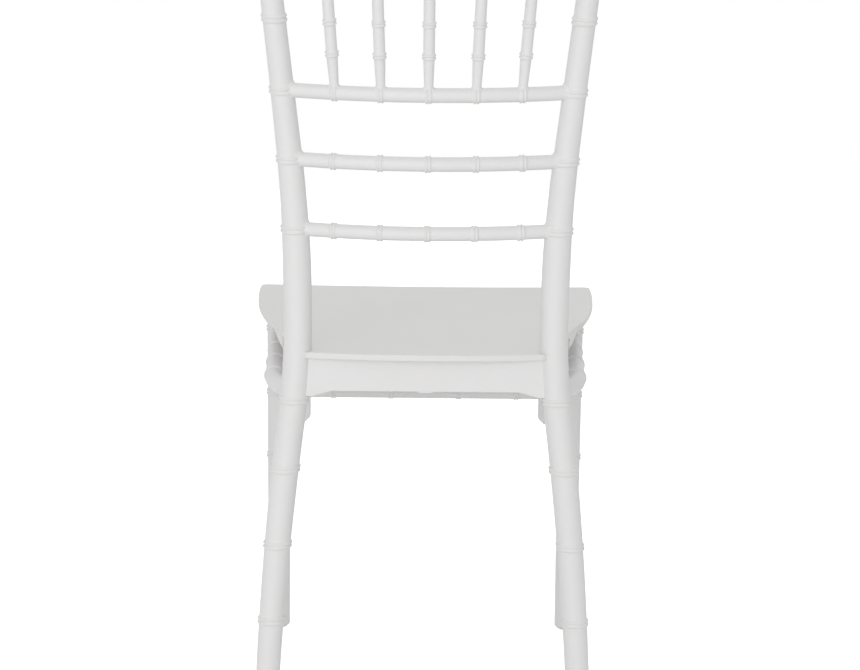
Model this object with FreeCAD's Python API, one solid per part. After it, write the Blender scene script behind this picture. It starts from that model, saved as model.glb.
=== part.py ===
import FreeCAD, Part
import math
import os

# A white moulded resin ballroom chair with bamboo-style rings, built as an assembly.
# Millimetres, +Z up. The sitter faces -Y, and the sitter's left is +X.
# The origin is on the floor, in the middle of the chair's overall width and depth.

V = FreeCAD.Vector

# Overall sizes
total_height = 900.0
seat_front_height = 460.0
seat_fall = 7.0

# Rear posts: half spacing between the post centre lines, and diameters
post_half_spacing_foot = 173.8
post_half_spacing_seat = 136.5
post_half_spacing_top = 164.9
post_diameter_foot = 24.7
post_diameter_seat = 30.0
post_diameter_top = 22.7
post_setback = 391.0
post_foot_reach = 30.0
post_top_reach = 60.0
post_bend_below_seat = 10.0
post_lower_splay_above_seat = 20.0
post_upper_splay_above_seat = 52.0
post_lower_taper_below_seat = 64.0
post_upper_taper_above_seat = 70.0
foot_splay_knee = 0.19
foot_splay_peak = 1.7
top_splay_knee = 0.4
foot_taper_knee = 0.3
top_taper_knee = 0.1
top_taper_peak = 2.0
post_station_step = 36.0

# Front legs
leg_half_spacing_foot = 192.6
leg_half_spacing_top = 189.4
leg_diameter_foot = 28.4
leg_diameter_top = 30.6
leg_setback = 30.0

# Bamboo rings: two beads side by side with a groove between them, slimmer on the rails and spindles
upright_ring_height = 8.4
upright_ring_proud = 1.6
bar_ring_height = 6.6
bar_ring_proud = 1.4
ring_groove_proud = 0.4
ring_root = 0.7
ring_depth = 3.2

# Ring heights on the posts and legs: evenly spaced up the legs, and a little closer from one to
# the next up the back
lowest_ring_height = 154.0
leg_top_ring_drop = 52.5
leg_ring_count = 4
post_seat_ring_drop = 60.6
lower_back_rail_rise = 124.0
crest_drop = 30.0
back_ring_count = 5
back_ring_step_change = 1.3
upper_back_rail_drop = 1.1

# Back rails
back_rail_count = 3
rail_diameter = 14.9
crest_diameter = 16.8
rail_bow = 23.0
rail_ring_outer = 97.0
rail_ring_inner = 49.0
rail_tenon_diameter = 9.0
rail_tenon_depth = 9.0

# Spindles between the upper back rail and the crest rail
spindle_foot_outer = 94.9
spindle_foot_inner = 48.1
spindle_head_outer = 103.8
spindle_head_inner = 52.6
spindle_end_diameter = 8.7
spindle_diameter = 11.6
spindle_ring_pitch = 32.0
spindle_tenon_diameter = 5.0
spindle_tenon_depth = 5.0

# Seat shell
seat_half_width = 213.9
seat_thickness = 6.0
seat_dish = 9.0
seat_dish_lead = 0.07
seat_slab_margin = 6.0
seat_corner_radius = 9.0
seat_side_half_width_mid = 202.2
seat_side_mid_setback = 145.0
seat_side_half_width_end = 181.6
seat_side_end_setback = 236.0
seat_flare_half_width = 161.0
seat_flare_setback = 295.0
seat_rear_half_width = 146.0
seat_rear_corner_setback = 382.0
seat_lip_half_width = 127.0
seat_lip_setback = 405.0
seat_rear_setback = 416.0
seat_boss_diameter = 12.0
seat_boss_embed = 2.0
seat_notch_reach = 20.0
seat_outline_reach = 36.0
seat_station_shares = [-0.04, 0.1, 0.3, 0.5, 0.7, 0.9, 1.05]
seat_skirt_thickness = 2.6
seat_skirt_start_setback = 250.0
seat_skirt_end_setback = 286.0
seat_skirt_drop_start = 4.0
seat_skirt_drop_mid = 14.0
seat_skirt_drop_end = 20.0

# Seat rails under the shell
seat_rail_thickness = 12.0
side_seat_rail_drop = 39.0
end_seat_rail_drop_mid = 50.0
end_seat_rail_drop_end = 56.0
end_seat_rail_ramp = 21.0
rear_seat_rail_offset = 2.0
rear_tab_width = 14.0
rear_tab_drop = 1.5
stub_tenon_depth = 5.0
stub_tenon_thickness = 6.0
stub_tenon_inset = 2.0
stub_tenon_height = 16.0

# Stretchers
stretcher_diameter = 17.0
front_stretcher_above_ring = 1.0
front_ring_inner = 44.3
front_ring_outer = 119.5
side_stretcher_diameter = 20.0
side_stretcher_drop = 52.0
side_stretcher_rear_half_spacing = 164.0
side_stretcher_bend_setback = 322.0
side_stretcher_bend_radius = 110.0
side_stretcher_bend_angle = 35.0
side_ring_pitch = 70.0
side_ring_count = 4
stretcher_tenon_diameter = 10.0
stretcher_tenon_depth = 10.0

# Brackets in the corners below the front stretcher
bracket_reach = 41.0
bracket_drop = 34.0
bracket_tip_drop = 48.0
bracket_chamfer = 7.0
bracket_thickness = 12.0
bracket_tenon_height = 14.0

# Corner blocks and their hardware
block_height = 16.0
block_gap_to_leg = 1.0
block_length = 22.0
block_half_width = 40.0
bolt_diameter = 6.0
bolt_head_diameter = 10.0
bolt_head_height = 6.0
bolt_key_size = 5.0
bolt_key_depth = 3.0
washer_diameter = 14.0
washer_thickness = 1.4
insert_diameter = 8.0
insert_length = 14.0
insert_inset = 0.5
bolt_reach_past_insert = 1.0
bolt_hole_clearance = 0.3
bolt_hole_runout = 1.0
screw_diameter = 4.5
screw_head_diameter = 9.0
screw_head_height = 3.0
screw_offset = 9.0
screw_setback = 13.5
screw_head_edge = 0.75
screw_reach_past_block = 10.0

# Foot glides
glide_diameter = 22.0
glide_height = 2.5
glide_edge = 0.8
glide_stem_diameter = 7.0
glide_stem_length = 16.0

# Fits
fit_clearance = 0.1
seat_clearance = 0.3
depth_clearance = 0.3


def ease(share, knee, peak):
    """Share of a change reached along a curve that starts flat and is steepest at the knee."""
    if share < knee:
        return peak * share * share / (2 * knee)
    past = share - knee
    drop = 2 * (peak * (1 - knee / 2) - 1) / (1 - knee) ** 2
    return peak * knee / 2 + peak * past - drop * past * past / 2


def straight_after(knee):
    """Peak slope that leaves the curve straight once the knee is passed."""
    return 1 / (1 - knee / 2)


# Heights that follow from the seat and from the overall height
seat_rear_height = seat_front_height - seat_fall
post_bend_height = seat_front_height - post_bend_below_seat
post_splay_start_below = seat_front_height + post_lower_splay_above_seat
post_splay_start_above = seat_front_height + post_upper_splay_above_seat
post_taper_start_below = seat_front_height - post_lower_taper_below_seat
post_taper_start_above = seat_front_height + post_upper_taper_above_seat
side_seat_rail_bottom = seat_front_height - side_seat_rail_drop
end_seat_rail_bottom_mid = seat_front_height - end_seat_rail_drop_mid
end_seat_rail_bottom_end = seat_front_height - end_seat_rail_drop_end
stub_tenon_bottom = side_seat_rail_bottom + stub_tenon_inset
stub_tenon_top = stub_tenon_bottom + stub_tenon_height
side_stretcher_height = seat_front_height - side_stretcher_drop
leg_top = seat_front_height
block_bottom = side_seat_rail_bottom
block_top = block_bottom + block_height
bolt_height = (block_top + block_bottom) / 2
screw_tip_height = block_top + screw_reach_past_block

# Rings: evenly spaced up the legs, and drawing closer from the lowest back rail up to the crest
leg_ring_pitch = (seat_front_height - leg_top_ring_drop - lowest_ring_height) / (leg_ring_count - 1)
leg_ring_heights = [lowest_ring_height + leg_ring_pitch * i for i in range(leg_ring_count)]
front_stretcher_height = leg_ring_heights[-2] + front_stretcher_above_ring
lower_back_rail_height = seat_front_height + lower_back_rail_rise
crest_height = total_height - crest_drop
back_ring_pitch = (crest_height - lower_back_rail_height) / (back_ring_count - 1)
back_ring_heights = [
    lower_back_rail_height + back_ring_pitch * i + back_ring_step_change * i * (back_ring_count - 1 - i) / 2
    for i in range(back_ring_count)
]
back_ring_heights[back_rail_count - 1] -= upper_back_rail_drop
post_ring_heights = leg_ring_heights[:-1] + [seat_front_height - post_seat_ring_drop] + back_ring_heights

# Overall depth, and where the uprights stand in it
crest_reach = post_top_reach * ((crest_height - post_bend_height) / (total_height - post_bend_height)) ** 2
total_depth = post_setback + crest_reach + rail_bow + crest_diameter / 2 + bar_ring_proud
front_edge = -total_depth / 2
post_seat_y = front_edge + post_setback
leg_y = front_edge + leg_setback


def post_centre(z):
    """Centre of the left rear post at a height."""
    if z < post_splay_start_below:
        share = (post_splay_start_below - z) / post_splay_start_below
        splay = ease(share, foot_splay_knee, foot_splay_peak)
        x = post_half_spacing_seat + (post_half_spacing_foot - post_half_spacing_seat) * splay
    elif z > post_splay_start_above:
        share = (z - post_splay_start_above) / (total_height - post_splay_start_above)
        splay = ease(share, top_splay_knee, straight_after(top_splay_knee))
        x = post_half_spacing_seat + (post_half_spacing_top - post_half_spacing_seat) * splay
    else:
        x = post_half_spacing_seat
    if z < post_bend_height:
        y = post_seat_y + post_foot_reach * ((post_bend_height - z) / post_bend_height) ** 2
    else:
        y = post_seat_y + post_top_reach * ((z - post_bend_height) / (total_height - post_bend_height)) ** 2
    return V(x, y, z)


def post_radius(z):
    """Radius of the rear post at a height."""
    change = 0.0
    if z < post_taper_start_below:
        share = (post_taper_start_below - z) / post_taper_start_below
        taper = ease(share, foot_taper_knee, straight_after(foot_taper_knee))
        change = (post_diameter_foot - post_diameter_seat) * taper
    elif z > post_taper_start_above:
        share = (z - post_taper_start_above) / (total_height - post_taper_start_above)
        change = (post_diameter_top - post_diameter_seat) * ease(share, top_taper_knee, top_taper_peak)
    return (post_diameter_seat + change) / 2


def post_axis(z):
    """Direction square to the post's rings, which stay level from side to side."""
    rise = post_centre(z + 1) - post_centre(z - 1)
    return V(0, rise.y, rise.z).normalize()


def post_lean(z):
    """Backward lean of the post at a height, in radians."""
    axis = post_axis(z)
    return math.atan2(axis.y, axis.z)


def place(shape, centre, axis):
    """Shape built along +Z at the origin, moved to a centre and turned to an axis."""
    moved = shape.copy()
    moved.Placement = FreeCAD.Placement(centre, FreeCAD.Rotation(V(0, 0, 1), axis))
    return moved


def rod(start, end, diameter):
    """Straight round bar between two points."""
    axis = end - start
    return Part.makeCylinder(diameter / 2, axis.Length, start, axis)


def disc(centre, axis, radius):
    """Round edge loop at a centre, square to an axis."""
    return place(Part.Wire(Part.makeCircle(radius)), centre, axis)


def ring(centre, axis, radius, height, proud):
    """Double-bead ring round a bar; its seam lies a quarter turn from the bar's own seam."""
    half = height / 2
    inner = radius - ring_depth
    low = V(0, radius - ring_root, -half)
    groove = V(0, radius + ring_groove_proud, 0)
    high = V(0, radius - ring_root, half)
    low_crown = V(0, radius + proud, -half / 2)
    high_crown = V(0, radius + proud, half / 2)
    edges = [
        Part.Arc(low, low_crown, groove).toShape(),
        Part.Arc(groove, high_crown, high).toShape(),
        Part.makeLine(high, V(0, inner, half)),
        Part.makeLine(V(0, inner, half), V(0, inner, -half)),
        Part.makeLine(V(0, inner, -half), low),
    ]
    solid = Part.Face(Part.Wire(edges)).revolve(V(0, 0, 0), V(0, 0, 1), 360)
    return place(solid, centre, axis)


def upright_ring(centre, axis, radius):
    """Ring of the size that the posts and legs have."""
    return ring(centre, axis, radius, upright_ring_height, upright_ring_proud)


def bar_ring(centre, axis, radius):
    """Ring of the size that the rails, stretchers and spindles have."""
    return ring(centre, axis, radius, bar_ring_height, bar_ring_proud)


def mirrored(shape):
    """The same piece on the right-hand side."""
    return shape.mirror(V(0, 0, 0), V(1, 0, 0))


def prism(points, height, start):
    """Upright prism on a plan outline of (x, y) pairs."""
    corners = [V(x, y, start) for x, y in points]
    return Part.Face(Part.makePolygon(corners + corners[:1])).extrude(V(0, 0, height))


def glide_socket(centre):
    """Room in a foot for the glide's stem, with its clearance."""
    top = glide_height + glide_stem_length + depth_clearance
    return Part.makeCylinder(glide_stem_diameter / 2 + fit_clearance, top, V(centre.x, centre.y, 0))


def dome(radius):
    """Half ball that stands on the XY plane."""
    side = radius * math.sqrt(0.5)
    edges = [
        Part.Arc(V(radius, 0, 0), V(side, 0, side), V(0, 0, radius)).toShape(),
        Part.makeLine(V(0, 0, radius), V(0, 0, 0)),
        Part.makeLine(V(0, 0, 0), V(radius, 0, 0)),
    ]
    return Part.Face(Part.Wire(edges)).revolve(V(0, 0, 0), V(0, 0, 1), 360)


def post_blank():
    """Left rear post with its rings and rounded top, before any sockets."""
    dome_radius = post_radius(total_height)
    dome_height = total_height - dome_radius
    count = round((dome_height - glide_height) / post_station_step)
    heights = [glide_height + (dome_height - glide_height) * i / count for i in range(count + 1)]
    loops = [disc(post_centre(z), post_axis(z), post_radius(z)) for z in heights[1:-1]]
    foot = disc(post_centre(glide_height), V(0, 0, 1), post_radius(glide_height))
    top = disc(post_centre(dome_height), post_axis(dome_height), post_radius(dome_height))
    body = Part.makeLoft([foot] + loops + [top], True, False)
    cap = place(dome(post_radius(dome_height)), post_centre(dome_height), post_axis(dome_height))
    rings = [upright_ring(post_centre(z), post_axis(z), post_radius(z)) for z in post_ring_heights]
    return body.fuse([cap] + rings)


def leg_centre(z):
    """Centre of the left front leg at a height."""
    share = z / leg_top
    x = leg_half_spacing_foot + (leg_half_spacing_top - leg_half_spacing_foot) * share
    return V(x, leg_y, z)


def leg_radius(z):
    """Radius of the front leg at a height."""
    return (leg_diameter_foot + (leg_diameter_top - leg_diameter_foot) * z / leg_top) / 2


def leg_blank():
    """Left front leg with its rings, before any sockets."""
    foot = disc(leg_centre(glide_height), V(0, 0, 1), leg_radius(glide_height))
    top = disc(leg_centre(leg_top), V(0, 0, 1), leg_radius(leg_top))
    body = Part.makeLoft([foot, top], True, True)
    axis = (leg_centre(leg_top) - leg_centre(0)).normalize()
    rings = [upright_ring(leg_centre(z), axis, leg_radius(z)) for z in leg_ring_heights]
    return body.fuse(rings)


class Bow:
    """Round rail between the posts, bowed rearward square to the leaning posts."""

    def __init__(self, height, diameter):
        self.height = height
        self.diameter = diameter
        self.end = post_centre(height)
        lean = post_lean(height)
        self.out = V(0, math.cos(lean), -math.sin(lean))
        self.radius = (self.end.x ** 2 + rail_bow ** 2) / (2 * rail_bow)
        crown = V(0, self.end.y, self.end.z) + self.out * rail_bow
        self.centre = crown - self.out * self.radius

    def point(self, x):
        depth = math.sqrt(self.radius ** 2 - x ** 2)
        return self.centre + V(x, 0, 0) + self.out * depth

    def along(self, x):
        depth = math.sqrt(self.radius ** 2 - x ** 2)
        return (V(depth, 0, 0) - self.out * x).normalize()

    def bar(self):
        start = Part.Face(disc(self.point(-self.end.x), self.along(-self.end.x), self.diameter / 2))
        turn = math.degrees(2 * math.asin(self.end.x / self.radius))
        axis = V(1, 0, 0).cross(self.out)
        return start.revolve(self.centre, -axis, turn)

    def rings(self, places):
        return [bar_ring(self.point(x), self.along(x), self.diameter / 2) for x in places]

    def tenon(self, side, clearance):
        """Round tenon at one end; side is +1 for the left end and -1 for the right."""
        shoulder = self.end.x - post_radius(self.height)
        tip = shoulder + rail_tenon_depth
        diameter = rail_tenon_diameter
        if clearance:
            tip += depth_clearance
            diameter += 2 * clearance
        start = self.point(side * (shoulder - rail_tenon_depth))
        return rod(start, self.point(side * tip), diameter)


def both_sides(inner, outer):
    """Five places across the back: the middle one, and two pairs."""
    return [outer, inner, 0.0, -inner, -outer]


def back_rail(bow, places, posts):
    """A bowed rail with rings, coped to the posts, with a tenon at each end."""
    rail = bow.bar().fuse(bow.rings(places))
    for post in posts:
        rail = rail.cut(post)
    return rail.fuse([bow.tenon(1, 0), bow.tenon(-1, 0)])


def spindle_line(index):
    """Foot and head of a spindle on the centre lines of its two rails."""
    feet = both_sides(spindle_foot_inner, spindle_foot_outer)
    heads = both_sides(spindle_head_inner, spindle_head_outer)
    return upper_bow.point(feet[index]), crest_bow.point(heads[index])


def spindle_tenon(index, clearance):
    """Round peg that runs from rail to rail inside the spindle and into both."""
    foot, head = spindle_line(index)
    along = (head - foot).normalize()
    low = rail_diameter / 2 - spindle_tenon_depth
    high = crest_diameter / 2 - spindle_tenon_depth
    if clearance:
        low -= depth_clearance
        high -= depth_clearance
    diameter = spindle_tenon_diameter + 2 * clearance
    return rod(foot + along * low, head - along * high, diameter)


def spindle(index, rails):
    """Turned spindle, thicker between its outer rings, coped to both rails."""
    foot, head = spindle_line(index)
    length = (head - foot).Length
    thin = spindle_end_diameter / 2
    thick = spindle_diameter / 2
    low = length / 2 - spindle_ring_pitch
    high = length / 2 + spindle_ring_pitch
    outline = [(0, 0), (thin, 0), (thick, low), (thick, high), (thin, length), (0, length)]
    corners = [V(r, 0, z) for r, z in outline]
    turned = Part.Face(Part.makePolygon(corners + corners[:1])).revolve(V(0, 0, 0), V(0, 0, 1), 360)
    heights = [low, length / 2, high]
    rings = [bar_ring(V(0, 0, z), V(0, 0, 1), thick) for z in heights]
    body = place(turned.fuse(rings), foot, head - foot)
    for rail in rails:
        body = body.cut(rail)
    body = max(body.Solids, key=lambda piece: piece.Volume)
    return body.fuse(spindle_tenon(index, 0))


def seat_top(y):
    """Height of the seat's top edge line at a depth."""
    share = (y - front_edge) / seat_rear_setback
    return seat_front_height + (seat_rear_height - seat_front_height) * share


def seat_dip(y):
    """How far the middle of the seat lies below its edge line at a depth."""
    share = (y - front_edge) / seat_rear_setback
    return seat_dish * math.sin(math.pi * (share + seat_dish_lead) / (1 + seat_dish_lead))


def through(places, spot):
    """Value at a spot on the parabola through three (spot, value) places."""
    value = 0.0
    for own, height in places:
        others = [other for other, _ in places if other != own]
        value += height * math.prod((spot - other) / (own - other) for other in others)
    return value


def seat_reach(y):
    """Half the width of the dished layer at a depth, a little past the seat's bowed and flared side."""
    end = (seat_side_end_setback, seat_side_half_width_end)
    setback = y - front_edge
    if setback < seat_side_end_setback:
        places = [(seat_corner_radius, seat_half_width), (seat_side_mid_setback, seat_side_half_width_mid), end]
    else:
        corner = (seat_rear_corner_setback, seat_rear_half_width)
        places = [end, (seat_flare_setback, seat_flare_half_width), corner]
    return through(places, setback) + seat_slab_margin


def seat_surface(x, y):
    """Height of the seat's top at a place."""
    return seat_top(y) - seat_dip(y) * (1 - (x / seat_reach(y)) ** 2)


def seat_underside(x, y):
    """Height of the shell's underside at a place."""
    return seat_surface(x, y) - seat_thickness


def seat_layer(low, high):
    """Dished layer, wider than the seat, between two offsets from the seat's top surface."""
    loops = []
    for share in seat_station_shares:
        y = front_edge + seat_rear_setback * share
        left = V(seat_reach(y), y, seat_top(y))
        right = V(-seat_reach(y), y, seat_top(y))
        middle = V(0, y, seat_top(y) - seat_dip(y))
        above = V(0, 0, high)
        below = V(0, 0, low)
        edges = [
            Part.Arc(left + above, middle + above, right + above).toShape(),
            Part.makeLine(right + above, right + below),
            Part.Arc(right + below, middle + below, left + below).toShape(),
            Part.makeLine(left + below, left + above),
        ]
        loops.append(Part.Wire(edges))
    return Part.makeLoft(loops, True, False)


def seat_outline():
    """Plan of the seat: square front with round corners, sides that bow and then flare, bowed rear lip."""
    z = seat_rear_height - seat_outline_reach
    round_off = seat_corner_radius
    front = front_edge
    side = seat_half_width
    diagonal = round_off * (1 - math.sqrt(0.5))
    side_start = V(side, front + round_off, z)
    side_mid = V(seat_side_half_width_mid, front + seat_side_mid_setback, z)
    side_end = V(seat_side_half_width_end, front + seat_side_end_setback, z)
    flare_mid = V(seat_flare_half_width, front + seat_flare_setback, z)
    rear_corner_spot = V(seat_rear_half_width, front + seat_rear_corner_setback, z)
    lip_end = V(seat_lip_half_width, front + seat_lip_setback, z)
    lip_mid = V(0, front + seat_rear_setback, z)

    def flip(point):
        return V(-point.x, point.y, point.z)

    corner_start = V(side - round_off, front, z)
    corner_mid = V(side - diagonal, front + diagonal, z)
    edges = [
        Part.makeLine(flip(corner_start), corner_start),
        Part.Arc(corner_start, corner_mid, side_start).toShape(),
        Part.Arc(side_start, side_mid, side_end).toShape(),
        Part.Arc(side_end, flare_mid, rear_corner_spot).toShape(),
        Part.makeLine(rear_corner_spot, lip_end),
        Part.Arc(lip_end, lip_mid, flip(lip_end)).toShape(),
        Part.makeLine(flip(lip_end), flip(rear_corner_spot)),
        Part.Arc(flip(rear_corner_spot), flip(flare_mid), flip(side_end)).toShape(),
        Part.Arc(flip(side_end), flip(side_mid), flip(side_start)).toShape(),
        Part.Arc(flip(side_start), flip(corner_mid), flip(corner_start)).toShape(),
    ]
    return Part.Face(Part.Wire(edges)).extrude(V(0, 0, 2 * seat_outline_reach))


def seat_skirt():
    """Flange turned down from the left side's rim, just in front of the post, deeper towards it."""

    def rim(setback):
        y = front_edge + setback
        return V(seat_reach(y) - seat_slab_margin, y, 0)

    start, end = rim(seat_skirt_start_setback), rim(seat_skirt_end_setback)
    middle = (start + end) * 0.5
    along = (end - start).normalize()
    inward = V(-along.y, along.x, 0)

    def below(spot, drop):
        return V(spot.x, spot.y, seat_surface(spot.x, spot.y) - drop)

    inside = seat_thickness / 2
    front_low = below(start, seat_skirt_drop_start)
    rear_low = below(end, seat_skirt_drop_end)
    edges = [
        Part.Arc(front_low, below(middle, seat_skirt_drop_mid), rear_low).toShape(),
        Part.makeLine(rear_low, below(end, inside)),
        Part.makeLine(below(end, inside), below(start, inside)),
        Part.makeLine(below(start, inside), front_low),
    ]
    return Part.Face(Part.Wire(edges)).extrude(inward * seat_skirt_thickness)


def seat_boss(spot):
    """Round boss from a corner block's top up into the shell's underside."""
    height = seat_underside(spot.x, spot.y) + seat_boss_embed - block_top
    return Part.makeCylinder(seat_boss_diameter / 2, height, V(spot.x, spot.y, block_top))


def seat_shell():
    """Thin dished shell, notched round the posts, with side skirts and a boss over each seat screw."""
    shell = above_frame.common(seat_outline()).cut(above_seat)
    low = seat_rear_height - seat_notch_reach
    high = seat_rear_height + seat_notch_reach
    heights = (low, seat_rear_height - seat_thickness, high)
    loops = [disc(post_centre(z), V(0, 0, 1), post_radius(z) + seat_clearance) for z in heights]
    notch = Part.makeLoft(loops, True, True)
    spots = [spot for corner in corners for spot in screw_spots(corner)]
    shell = shell.cut(notch).cut(mirrored(notch))
    shell = max(shell.Solids, key=lambda piece: piece.Volume)
    skirt = seat_skirt()
    shell = shell.fuse([seat_boss(spot) for spot in spots] + [skirt, mirrored(skirt)])
    return shell.cut([seat_screw_room(spot) for spot in spots])


def plate(points, y, thickness):
    """Upright plate on a front-view outline of (x, z) pairs, centred on a depth."""
    corners = [V(x, y - thickness / 2, z) for x, z in points]
    return Part.Face(Part.makePolygon(corners + corners[:1])).extrude(V(0, thickness, 0))


def end_rail_outline(leg_x, inner_x, tab):
    """Front view of an end rail: lower at its ends, with a ramp up and an optional tab."""
    top = seat_front_height
    ramp = inner_x - end_seat_rail_ramp
    half_tab = rear_tab_width / 2
    below = [(leg_x, end_seat_rail_bottom_end), (inner_x, end_seat_rail_bottom_end)]
    below.append((ramp, end_seat_rail_bottom_mid))
    if tab:
        below.append((half_tab + rear_tab_drop, end_seat_rail_bottom_mid))
        below.append((half_tab, end_seat_rail_bottom_mid - rear_tab_drop))
    other_side = [(-x, z) for x, z in reversed(below)]
    return [(leg_x, top)] + below + other_side + [(-leg_x, top)]


def stub_tenon(centre, radius, toward, clearance):
    """Flat tenon that enters a leg by its stub depth, from the side it faces."""
    along = V(toward.x, toward.y, 0).normalize()
    across = V(-along.y, along.x, 0)
    half = stub_tenon_thickness / 2 + clearance
    deep = radius - stub_tenon_depth
    bottom = stub_tenon_bottom - clearance
    top = stub_tenon_top + clearance
    if clearance:
        deep -= depth_clearance
    far = radius + stub_tenon_depth
    base = V(centre.x, centre.y, 0)
    places = ((deep, -half), (far, -half), (far, half), (deep, half))
    plan = [base + along * out + across * side for out, side in places]
    return prism([(point.x, point.y) for point in plan], top - bottom, bottom)


class Corner:
    """One corner of the seat frame, on the left side: its leg and the two rail directions."""

    def __init__(self, centre, radius, forward):
        self.centre = centre
        self.radius = radius
        self.across = V(-1, 0, 0)
        self.along = forward
        self.inward = (self.across + self.along).normalize()
        self.sideways = V(-self.inward.y, self.inward.x, 0)

    def at(self, out, side, z):
        """A point so far inward from the leg's axis, and so far to the side."""
        spot = self.centre + self.inward * out + self.sideways * side
        return V(spot.x, spot.y, z)


def screw_spots(corner):
    """Plan places of the two seat screws of a corner, on the left and mirrored to the right."""
    out = block_span(corner)[0] + screw_setback
    left = [corner.at(out, side, 0) for side in (screw_offset, -screw_offset)]
    return left + [V(-spot.x, spot.y, 0) for spot in left]


def seat_screw(spot):
    """Pan-head screw that comes up through a corner block into a seat boss."""
    under = block_bottom
    head_base = V(spot.x, spot.y, under - screw_head_height)
    head = Part.makeCylinder(screw_head_diameter / 2, screw_head_height, head_base)
    head = head.makeChamfer(screw_head_edge, [head.Edges[2]])
    shank = Part.makeCylinder(screw_diameter / 2, screw_tip_height - under, V(spot.x, spot.y, under))
    return head.fuse(shank)


def seat_screw_room(spot):
    """Hole for a seat screw, through the block and into the boss."""
    length = screw_tip_height + depth_clearance - block_bottom
    return Part.makeCylinder(screw_diameter / 2 + fit_clearance, length, V(spot.x, spot.y, block_bottom))


def along_corner(corner, start, end, diameter):
    """Round bar on a corner's diagonal, between two distances from the leg's axis."""
    return rod(corner.at(start, 0, bolt_height), corner.at(end, 0, bolt_height), diameter)


def insert_span(corner):
    """Where the threaded insert starts and ends, measured from the leg's axis."""
    end = corner.radius - insert_inset
    return end - insert_length, end


def threaded_insert(corner):
    """Sleeve set in the leg for the frame bolt."""
    start, end = insert_span(corner)
    sleeve = along_corner(corner, start, end, insert_diameter)
    return sleeve.cut(along_corner(corner, start, end, bolt_diameter + 2 * fit_clearance))


def insert_room(corner):
    """Pocket in the leg for the insert, open at the leg's surface."""
    start, end = insert_span(corner)
    far = corner.radius + insert_inset
    return along_corner(corner, start - depth_clearance, far, insert_diameter + 2 * fit_clearance)


def block_span(corner):
    """Where the corner block starts and ends, measured from the leg's axis."""
    start = corner.radius + block_gap_to_leg
    return start, start + block_length


def corner_block(corner, rails):
    """Block glued into the angle of two rails, drilled for its bolt and seat screws."""
    start, end = block_span(corner)
    wide = block_half_width
    places = ((start, -wide), (end, -wide), (end, wide), (start, wide))
    plan = [corner.at(out, side, 0) for out, side in places]
    block = prism([(point.x, point.y) for point in plan], block_top - block_bottom, block_bottom)
    for rail in rails:
        block = block.cut(rail)
    block = max(block.Solids, key=lambda piece: piece.Volume)
    hole_start = start - bolt_hole_runout
    hole_end = end + bolt_hole_runout
    hole = along_corner(corner, hole_start, hole_end, bolt_diameter + 2 * bolt_hole_clearance)
    left_spots = screw_spots(corner)[:2]
    return block.cut([hole] + [seat_screw_room(spot) for spot in left_spots])


def washer(corner):
    """Flat washer under the bolt's head."""
    start = block_span(corner)[1]
    end = start + washer_thickness
    round_plate = along_corner(corner, start, end, washer_diameter)
    return round_plate.cut(along_corner(corner, start, end, bolt_diameter + 2 * bolt_hole_clearance))


def frame_bolt(corner):
    """Socket-head bolt from inside the seat frame into the leg's insert."""
    start = insert_span(corner)[0] + bolt_reach_past_insert
    seat = block_span(corner)[1] + washer_thickness
    shank = along_corner(corner, start, seat, bolt_diameter)
    head = along_corner(corner, seat, seat + bolt_head_height, bolt_head_diameter)
    key = Part.Face(Part.Wire(Part.makePolygon(hexagon(bolt_key_size))))
    key = key.extrude(V(0, 0, bolt_key_depth))
    key_start = corner.at(seat + bolt_head_height - bolt_key_depth, 0, bolt_height)
    return shank.fuse(head).cut(place(key, key_start, corner.inward))


def hexagon(size):
    """Closed hexagon in the XY plane, given its width across flats."""
    reach = size / math.sqrt(3)
    angles = [math.radians(60 * i) for i in range(7)]
    return [V(reach * math.cos(angle), reach * math.sin(angle), 0) for angle in angles]


def side_seat_rail_blank():
    """Straight rail from the front leg to the rear post, up past the seat's underside."""
    start = leg_centre(side_seat_rail_bottom)
    end = post_centre(side_seat_rail_bottom)
    along = V(end.x - start.x, end.y - start.y, 0).normalize()
    half = V(-along.y, along.x, 0) * (seat_rail_thickness / 2)
    plan = [start - half, end - half, end + half, start + half]
    bottom = side_seat_rail_bottom
    return prism([(point.x, point.y) for point in plan], seat_front_height - bottom, bottom)


def side_direction():
    """Direction of the side seat rail, from the front leg to the rear post."""
    start = leg_centre(side_seat_rail_bottom)
    end = post_centre(side_seat_rail_bottom)
    return V(end.x - start.x, end.y - start.y, 0).normalize()


def side_bend():
    """Start point and direction of the side stretcher's bend towards the post."""
    start = leg_centre(side_stretcher_height)
    aim = V(side_stretcher_rear_half_spacing, post_seat_y, side_stretcher_height)
    along = (aim - start).normalize()
    length = (front_edge + side_stretcher_bend_setback - start.y) / along.y
    return start + along * length, along


def side_bar(diameter, extra_turn, front_start):
    """Round bar from the front leg that bends into the rear post."""
    bend, along = side_bend()
    start = leg_centre(side_stretcher_height) + along * front_start
    inward = V(-along.y, along.x, 0)
    centre = bend + inward * side_stretcher_bend_radius
    straight = rod(start, bend, diameter)
    curve = Part.Face(disc(bend, along, diameter / 2))
    curve = curve.revolve(centre, V(0, 0, 1), side_stretcher_bend_angle + extra_turn)
    return straight.fuse(curve)


def side_rings():
    """Rings along the side stretcher, evenly spaced about its middle."""
    bend, along = side_bend()
    start = leg_centre(side_stretcher_height)
    middle = (leg_y + post_seat_y) / 2
    rings = []
    for i in range(side_ring_count):
        y = middle + (i - (side_ring_count - 1) / 2) * side_ring_pitch
        centre = start + along * ((y - start.y) / along.y)
        rings.append(bar_ring(centre, along, side_stretcher_diameter / 2))
    return rings


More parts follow.
